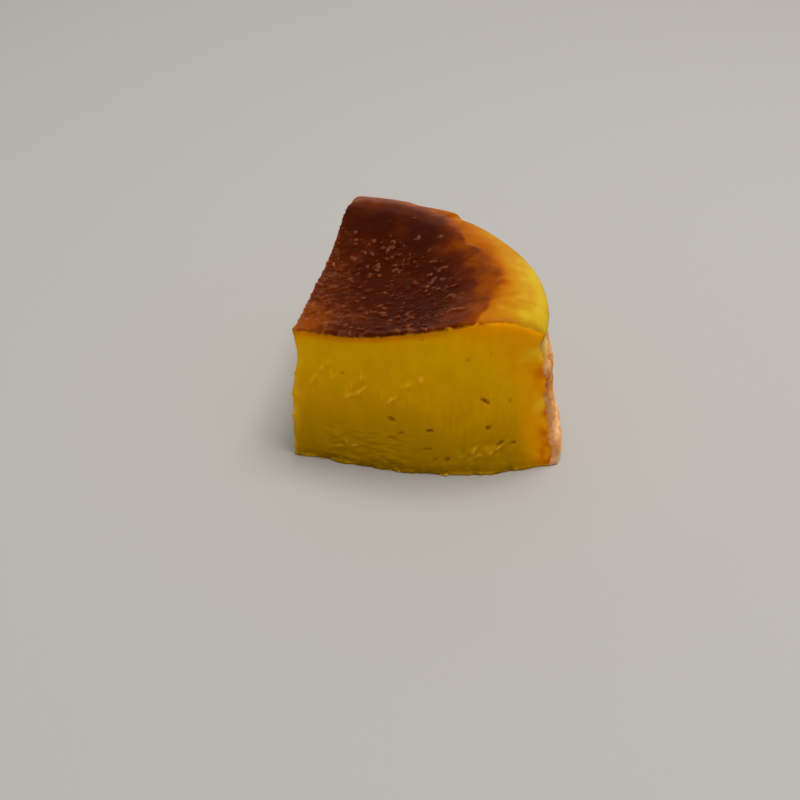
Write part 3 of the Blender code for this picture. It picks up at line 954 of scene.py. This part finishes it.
def skin_gloss(tree, at, on_skin):
    """How rough the surface is, and its coat: a glaze where it browned, a little wax on pale skin."""
    browned = put(tree, "MapRange", {"interpolation_type": "SMOOTHSTEP", "From Min": 0.45, "From Max": 0.75,
                                     "Value": at.browning})
    not_wall = put(tree, "Math", {"operation": "SUBTRACT", 0: 1.0, 1: at.wall_skin})
    glaze = browned
    for part in (not_wall, on_skin):
        glaze = put(tree, "Math", {"operation": "MULTIPLY", 0: glaze, 1: part})
    rough = put(tree, "MapRange", {"To Min": 0.62, "To Max": 0.42, "Value": glaze})
    sheen = put(tree, "MapRange", {"From Max": 1.8, "To Min": 0.006, "To Max": 0.15, "Value": at.sheen})
    beads = put(tree, "MapRange", {"From Min": 0.25, "From Max": 1.0, "To Max": 0.23, "Value": at.bubble})
    wet = put(tree, "Math", {"operation": "ADD", 0: beads, 1: sheen})
    glossed = put(tree, "Math", {"operation": "MULTIPLY", 0: glaze, 1: wet})
    pale_skin = put(tree, "Math", {"operation": "SUBTRACT", "use_clamp": True, 0: not_wall, 1: browned})
    waxy = put(tree, "Math", {"operation": "MULTIPLY_ADD", 0: pale_skin, 1: 0.045, 2: 0.012})
    oily = put(tree, "Math", {"operation": "MULTIPLY", 0: on_skin, 1: waxy})
    return rough, put(tree, "Math", {"operation": "MAXIMUM", 0: glossed, 1: oily})


def skin_bump(tree, at, on_skin):
    """Pebbles on the blistered top and the wall, and a fine tooth all over."""
    top_share = put(tree, "Math", {"operation": "MULTIPLY", 0: at.blistered, 1: 0.9})
    top_height = put(tree, "Math", {"operation": "MULTIPLY", 0: at.skin_pebbles, 1: top_share})
    wall_share = put(tree, "Math", {"operation": "MULTIPLY", 0: at.wall_skin, 1: 1.7})
    both = put(tree, "Math", {"operation": "MULTIPLY_ADD", 0: at.skin_pebbles, 1: wall_share, 2: top_height})
    skin_height = put(tree, "Math", {"operation": "MULTIPLY", 0: both, 1: on_skin})
    total = put(tree, "Math", {"operation": "MULTIPLY_ADD", 0: at.custard_tooth, 1: 0.25, 2: skin_height})
    return put(tree, "Bump", {"Strength": 1.0, "Distance": 0.16 * MM, "Height": total})


def baked_custard(colours, sizes):
    """Egg and cream custard, set by baking, cut with a knife; its outside is a browned milk skin.

    The cut is dull and lets light into it, so its shade stays warm. The browned skin is
    sugar and fat, so it has a soft gloss that breaks into glints on every blister. That gloss
    is the coat's, so the custard's own highlight is nearly off.
    """
    material, tree, at = start_material("baked_custard", SLICE_PATTERNS, KEPT_NUMBERS)
    cut = custard_colour(tree, at, colours)
    skin = wall_colour(tree, at, colours, skin_colour(tree, at, colours))
    frayed = put(tree, "Math", {"operation": "MULTIPLY_ADD", 0: at.skin_frays, 1: 0.9, 2: -0.45})
    side = put(tree, "Math", {"operation": "ADD", 0: at.skin_side, 1: frayed})
    edge = sizes.skin / MM
    on_skin = put(tree, "MapRange", {"interpolation_type": "SMOOTHSTEP", "Value": side,
                                     "From Min": -edge - 0.75, "From Max": 0.25 - edge})
    colour = put(tree, "Mix", {"data_type": "RGBA", SHARE: on_skin, FROM: cut, TO: skin}, MIXED)
    rough, coat = skin_gloss(tree, at, on_skin)
    bump = skin_bump(tree, at, on_skin)
    shader = put(
        tree, "BsdfPrincipled",
        {
            "IOR": 1.45, "Specular IOR Level": 0.01, "Subsurface Weight": 0.35,
            "Subsurface Radius": LIGHT_REACH, "Subsurface Scale": 2.5 * MM,
            "Coat Roughness": 0.26, "Coat IOR": 1.5, "Coat Weight": coat, "Coat Normal": bump,
            "Base Color": colour, "Roughness": rough, "Normal": bump,
        },
    )
    put(tree, "OutputMaterial", {"Surface": shader})
    return material


def crumb_custard(colours):
    """Torn crumbs of the same custard: dull and soft, coloured mostly with the low custard's painted shade,
    which darkens their lit tops, and a little paler than the foot of the cut.
    """
    material, tree, at = start_material("crumb_custard", CRUMB_PATTERNS)
    share = put(tree, "MapRange", {"From Min": 0.35, "From Max": 0.65, "To Max": 0.4,
                                   "Value": at.crumb_clouds})
    # The low custard colour is painted shade on these crumbs.
    ends = {"data_type": "RGBA", FROM: opaque(colours.custard_shaded_low), TO: opaque(colours.custard)}
    colour = put(tree, "Mix", {**ends, SHARE: share}, MIXED)
    bump = put(tree, "Bump", {"Strength": 1.0, "Distance": 0.08 * MM, "Height": at.crumb_clouds})
    shader = put(
        tree, "BsdfPrincipled",
        {
            "IOR": 1.45, "Specular IOR Level": 0.25, "Roughness": 0.6, "Subsurface Weight": 0.35,
            "Subsurface Radius": LIGHT_REACH, "Subsurface Scale": 1.0 * MM,
            "Base Color": colour, "Normal": bump,
        },
    )
    put(tree, "OutputMaterial", {"Surface": shader})
    return material


def add_object(name, data):
    """Place new data in the scene as an object."""
    thing = bpy.data.objects.new(name, data)
    bpy.context.scene.collection.objects.link(thing)
    return thing


class CHEESECAKE_OT_slice(bpy.types.Operator):
    """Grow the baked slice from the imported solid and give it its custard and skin"""

    bl_idname = "cheesecake.slice"
    bl_label = "Bake the slice"

    def execute(self, context):
        sizes = context.scene.cheesecake_sizes
        mesh = remeshed_solid(sizes)
        if not mesh.polygons:
            raise RuntimeError("The packed solid gave no surface to bake.")
        shape_surface(mesh, sizes)
        simplify_base(mesh)
        mesh.materials.clear()
        mesh.materials.append(baked_custard(context.scene.cheesecake_colours, sizes))
        baked = add_object("baked_slice", mesh)
        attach(baked, BODY)
        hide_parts(SOLID.name)
        return {"FINISHED"}


def crumb(builder, place, radius, seed):
    """Add one torn, uneven crumb to the mesh that is being built, resting on the floor."""
    made = bmesh.ops.create_icosphere(builder, subdivisions=3, radius=1.0)
    for corner in made["verts"]:
        way = corner.co.normalized()
        bulge = 1.0 + 0.35 * noise.noise(way * 1.3 + Vector((seed, 0.0, 0.0)))
        bulge += 0.18 * noise.noise(way * 3.1 + Vector((0.0, seed, 0.0)))
        spot = way * Vector(CRUMB_FORM) * bulge * radius
        corner.co = (Vector(place) + spot) * MM
    lowest = min(corner.co.z for corner in made["verts"])
    for corner in made["verts"]:
        corner.co.z -= min(lowest, 0.0)


class CHEESECAKE_OT_crumbs(bpy.types.Operator):
    """Scatter a few torn crumbs along the foot of the near cut"""

    bl_idname = "cheesecake.crumbs"
    bl_label = "Scatter the crumbs"

    def execute(self, context):
        draw = random.Random(CRUMB_SEED)
        line = near_cut_line()
        runs = np.concatenate([[0.0], np.cumsum(np.hypot(*np.diff(line, axis=0).T))])
        builder = bmesh.new()
        for index in range(context.scene.cheesecake_sizes.crumbs):
            run = draw.uniform(*CRUMB_RUNS)
            radius = draw.uniform(*CRUMB_RADII)
            x = float(np.interp(run, runs, line[:, 0]))
            y = float(np.interp(run, runs, line[:, 1])) - 0.35 * radius
            crumb(builder, (x, y, 0.4 * radius), radius, 3.7 * index)
        mesh = bpy.data.meshes.new("foot_crumbs")
        builder.to_mesh(mesh)
        builder.free()
        if not mesh.polygons:
            raise RuntimeError("There are no crumbs to scatter.")
        mesh.transform(Matrix.Translation(Vector(slice_tip())))
        mesh.shade_smooth()
        mesh.materials.append(crumb_custard(context.scene.cheesecake_colours))
        crumbs = add_object("foot_crumbs", mesh)
        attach(crumbs, BODY)
        return {"FINISHED"}


def floor_paint(look):
    """Matt studio paper: an even, pale ground that catches the shadow and gives no glint."""
    material = bpy.data.materials.new("studio_paper")
    material.use_nodes = True
    shader = material.node_tree.nodes["Principled BSDF"]
    shader.inputs["Base Color"].default_value = opaque(look.floor)
    shader.inputs["Roughness"].default_value = 0.9
    shader.inputs["Specular IOR Level"].default_value = 0.1
    return material


def make_floor(look):
    """A round sheet of paper, flat under the slice, that rises gently far out on all sides."""
    builder = bmesh.new()
    rings = []
    turns = [math.tau * step / FLOOR_SIDES for step in range(FLOOR_SIDES)]
    for radius, rise in FLOOR_RINGS:
        corners = [(radius * math.cos(turn), radius * math.sin(turn), rise) for turn in turns]
        rings.append([builder.verts.new(corner) for corner in corners])
    builder.faces.new(rings[0])
    for inner, outer in zip(rings, rings[1:]):
        for step in range(FLOOR_SIDES):
            after = (step + 1) % FLOOR_SIDES
            builder.faces.new((inner[step], outer[step], outer[after], inner[after]))
    mesh = bpy.data.meshes.new("floor")
    builder.to_mesh(mesh)
    builder.free()
    mesh.shade_smooth()
    mesh.materials.append(floor_paint(look))
    add_object("floor", mesh)


def area_light(name, power, place, width, depth, colour):
    """A soft rectangular light that faces the slice."""
    light = bpy.data.lights.new(name, "AREA")
    light.shape = "RECTANGLE"
    light.size = width
    light.size_y = depth
    light.energy = power
    light.color = colour
    lamp = add_object(name, light)
    lamp.location = place
    lamp.rotation_euler = (Vector(LIT_PLACE) - Vector(place)).to_track_quat("-Z", "Y").to_euler()


def make_camera():
    """The camera that took the photograph: its lens, place, tilt and slight roll."""
    data = bpy.data.cameras.new("camera")
    data.lens = LENS
    data.sensor_width = SENSOR
    data.clip_start = 0.01
    camera = add_object("camera", data)
    across = Vector((1.0, 0.0, 0.0))
    upwards = Vector((0.0, math.sin(LOOK_DOWN), math.cos(LOOK_DOWN)))
    right = math.cos(ROLL) * across + math.sin(ROLL) * upwards
    up = math.cos(ROLL) * upwards - math.sin(ROLL) * across
    turn = Matrix((right, up, right.cross(up))).transposed().to_4x4()
    camera.matrix_world = Matrix.Translation(Vector(slice_tip()) + MM * Vector(EYE)) @ turn
    bpy.context.scene.camera = camera


class CHEESECAKE_OT_stage(bpy.types.Operator):
    """Lay the floor, set the lights and place the camera"""

    bl_idname = "cheesecake.stage"
    bl_label = "Set the stage"

    def execute(self, context):
        look = context.scene.cheesecake_stage
        make_floor(look)
        area_light("back_window", look.back_power, *BACK_WINDOW)
        area_light("top_softbox", look.top_power, *TOP_SOFTBOX)
        world = bpy.data.worlds.new("room")
        world.use_nodes = True
        room = world.node_tree.nodes["Background"].inputs
        room["Color"].default_value = opaque(look.sky)
        room["Strength"].default_value = look.sky_strength
        context.scene.world = world
        context.scene.view_settings.view_transform = "Standard"
        make_camera()
        return {"FINISHED"}


class CHEESECAKE_PT_panel(bpy.types.Panel):
    """Sizes, colours and steps of the cheesecake slice"""

    bl_idname = "CHEESECAKE_PT_panel"
    bl_label = "Cheesecake slice"
    bl_space_type = "VIEW_3D"
    bl_region_type = "UI"
    bl_category = "Cheesecake"

    def draw(self, context):
        layout = self.layout
        for operator in STEPS:
            layout.operator(operator.bl_idname)
        for name in GROUPS:
            group = getattr(context.scene, name)
            box = layout.box()
            for setting in group.bl_rna.properties.keys():
                if setting not in {"rna_type", "name"}:
                    box.prop(group, setting)


GROUPS = {"cheesecake_sizes": SliceSizes, "cheesecake_colours": SliceColours, "cheesecake_stage": StageLook}
STEPS = (CHEESECAKE_OT_stage, CHEESECAKE_OT_slice, CHEESECAKE_OT_crumbs)


def register():
    """Make the settings, steps and panel known to Blender."""
    for kind in (*GROUPS.values(), *STEPS, CHEESECAKE_PT_panel):
        bpy.utils.register_class(kind)
    for name, kind in GROUPS.items():
        setattr(bpy.types.Scene, name, PointerProperty(type=kind))


def unregister():
    """Take the settings, steps and panel away again."""
    for name in GROUPS:
        delattr(bpy.types.Scene, name)
    for kind in reversed((*GROUPS.values(), *STEPS, CHEESECAKE_PT_panel)):
        bpy.utils.unregister_class(kind)


def main():
    """Build the stage, the slice and its crumbs."""
    register()
    bpy.ops.cheesecake.stage()
    bpy.ops.cheesecake.slice()
    bpy.ops.cheesecake.crumbs()


if __name__ == "__main__":
    main()
